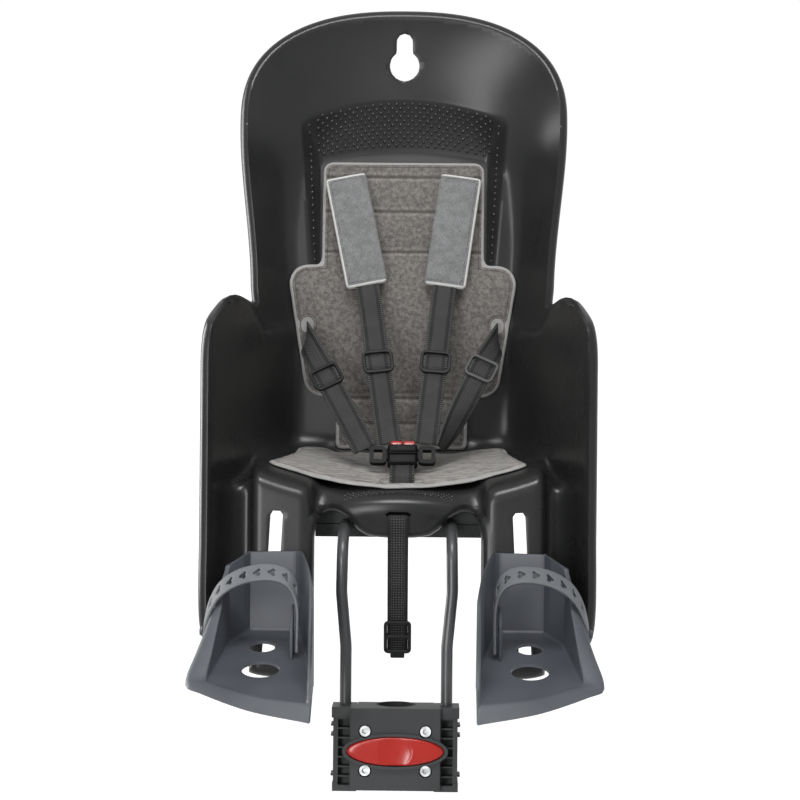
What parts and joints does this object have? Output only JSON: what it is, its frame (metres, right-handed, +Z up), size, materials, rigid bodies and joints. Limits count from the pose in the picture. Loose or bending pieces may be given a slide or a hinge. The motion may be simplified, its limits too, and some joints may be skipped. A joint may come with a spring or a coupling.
{
  "type": "child bike seat",
  "caption": "Rear child seat for a bicycle: moulded bucket shell with cushion and harness, sliding foot wells and a bent steel bow that plugs into a seat-tube clamp block.",
  "frame": {"origin": "on the seat-tube axis, at the height of the release button of the clamp block", "axes": "+Z up and -Y forwards on the bike, +X to the right in the front view; the seat tube leans back 17 degrees"},
  "size_m": [0.379, 0.6008, 0.6841],
  "materials": {
    "shell_plastic": "satin charcoal moulding",
    "foot_plastic": "satin slate grey moulding",
    "strap_rubber": "soft grey rubber",
    "pad_cloth": "velour over foam with a bound edge",
    "sleeve_cloth": "knitted cover over foam",
    "webbing": "herringbone webbing",
    "buckle_plastic": "black moulding",
    "red_plastic": "glossy red moulding",
    "bow_steel": "dark powder coat",
    "block_plastic": "glass-filled grey moulding",
    "zinc_steel": "bright zinc",
    "liner_rubber": "black rubber",
    "spring_steel": "drawn wire"
  },
  "bodies": {
    "seat": {"seat_shell": "shell_plastic", "seat_pad": "pad_cloth", "shoulder_strap_left": "webbing", "shoulder_strap_right": "webbing", "shoulder_pad_left": "sleeve_cloth", "shoulder_pad_right": "sleeve_cloth", "shoulder_slide_left": "buckle_plastic", "shoulder_slide_right": "buckle_plastic", "shoulder_anchor_left": "buckle_plastic", "shoulder_anchor_right": "buckle_plastic", "waist_strap_left": "webbing", "waist_strap_right": "webbing", "waist_slide_left": "buckle_plastic", "waist_slide_right": "buckle_plastic", "waist_anchor_left": "buckle_plastic", "waist_anchor_right": "buckle_plastic", "crotch_strap": "webbing", "crotch_anchor": "buckle_plastic", "buckle_housing": "buckle_plastic", "buckle_cover": "buckle_plastic", "buckle_tongue_left": "buckle_plastic", "buckle_tongue_right": "buckle_plastic", "buckle_spring_left": "spring_steel", "buckle_spring_right": "spring_steel", "support_bow": "bow_steel", "bow_carrier": "shell_plastic", "bow_clamp_front": "shell_plastic", "bow_clamp_rear": "shell_plastic", "carrier_screws": "zinc_steel", "block_front": "block_plastic", "block_jaw": "block_plastic", "block_bolts": "zinc_steel", "block_nuts": "zinc_steel", "tube_liners": "liner_rubber", "button_springs": "spring_steel", "safety_strap": "webbing", "safety_lock": "buckle_plastic"},
    "footrest_left": {"footrest_left": "foot_plastic", "foot_strap_left": "strap_rubber"},
    "footrest_right": {"footrest_right": "foot_plastic", "foot_strap_right": "strap_rubber"},
    "release_button": {"release_button": "red_plastic"},
    "rod_latch_left": {"rod_latch_left": "zinc_steel"},
    "rod_latch_right": {"rod_latch_right": "zinc_steel"},
    "buckle_button_left": {"buckle_button_left": "red_plastic"},
    "buckle_button_right": {"buckle_button_right": "red_plastic"}
  },
  "joints": [
    {"name": "footrest_left_height", "type": "slide", "parent": "seat", "child": "footrest_left", "axis": [0.0523, 0.292, 0.955], "range_m": [-0.045, 0.05]},
    {"name": "footrest_right_height", "type": "slide", "parent": "seat", "child": "footrest_right", "axis": [-0.0523, 0.292, 0.955], "range_m": [-0.045, 0.05]},
    {"name": "release_press", "type": "slide", "parent": "seat", "child": "release_button", "axis": [0, 0.9563, -0.2924], "range_m": [0, 0.005], "stiffness_N_per_m": 900, "springref_m": -0.004, "deforming": ["button_springs"]},
    {"name": "rod_latch_left_draw", "type": "slide", "parent": "seat", "child": "rod_latch_left", "axis": [1, 0, 0], "range_m": [0, 0.0042]},
    {"name": "rod_latch_right_draw", "type": "slide", "parent": "seat", "child": "rod_latch_right", "axis": [-1, 0, 0], "range_m": [0, 0.0042]},
    {"name": "buckle_button_left_press", "type": "slide", "parent": "seat", "child": "buckle_button_left", "axis": [0, -0.7071, -0.7071], "range_m": [0, 0.002], "stiffness_N_per_m": 700, "springref_m": -0.003, "deforming": ["buckle_spring_left"]},
    {"name": "buckle_button_right_press", "type": "slide", "parent": "seat", "child": "buckle_button_right", "axis": [0, -0.7071, -0.7071], "range_m": [0, 0.002], "stiffness_N_per_m": 700, "springref_m": -0.003, "deforming": ["buckle_spring_right"]}
  ],
  "couplings": [
    {"joint": "rod_latch_left_draw", "follows": "release_press", "ratio": 0.8},
    {"joint": "rod_latch_right_draw", "follows": "release_press", "ratio": 0.8}
  ]
}
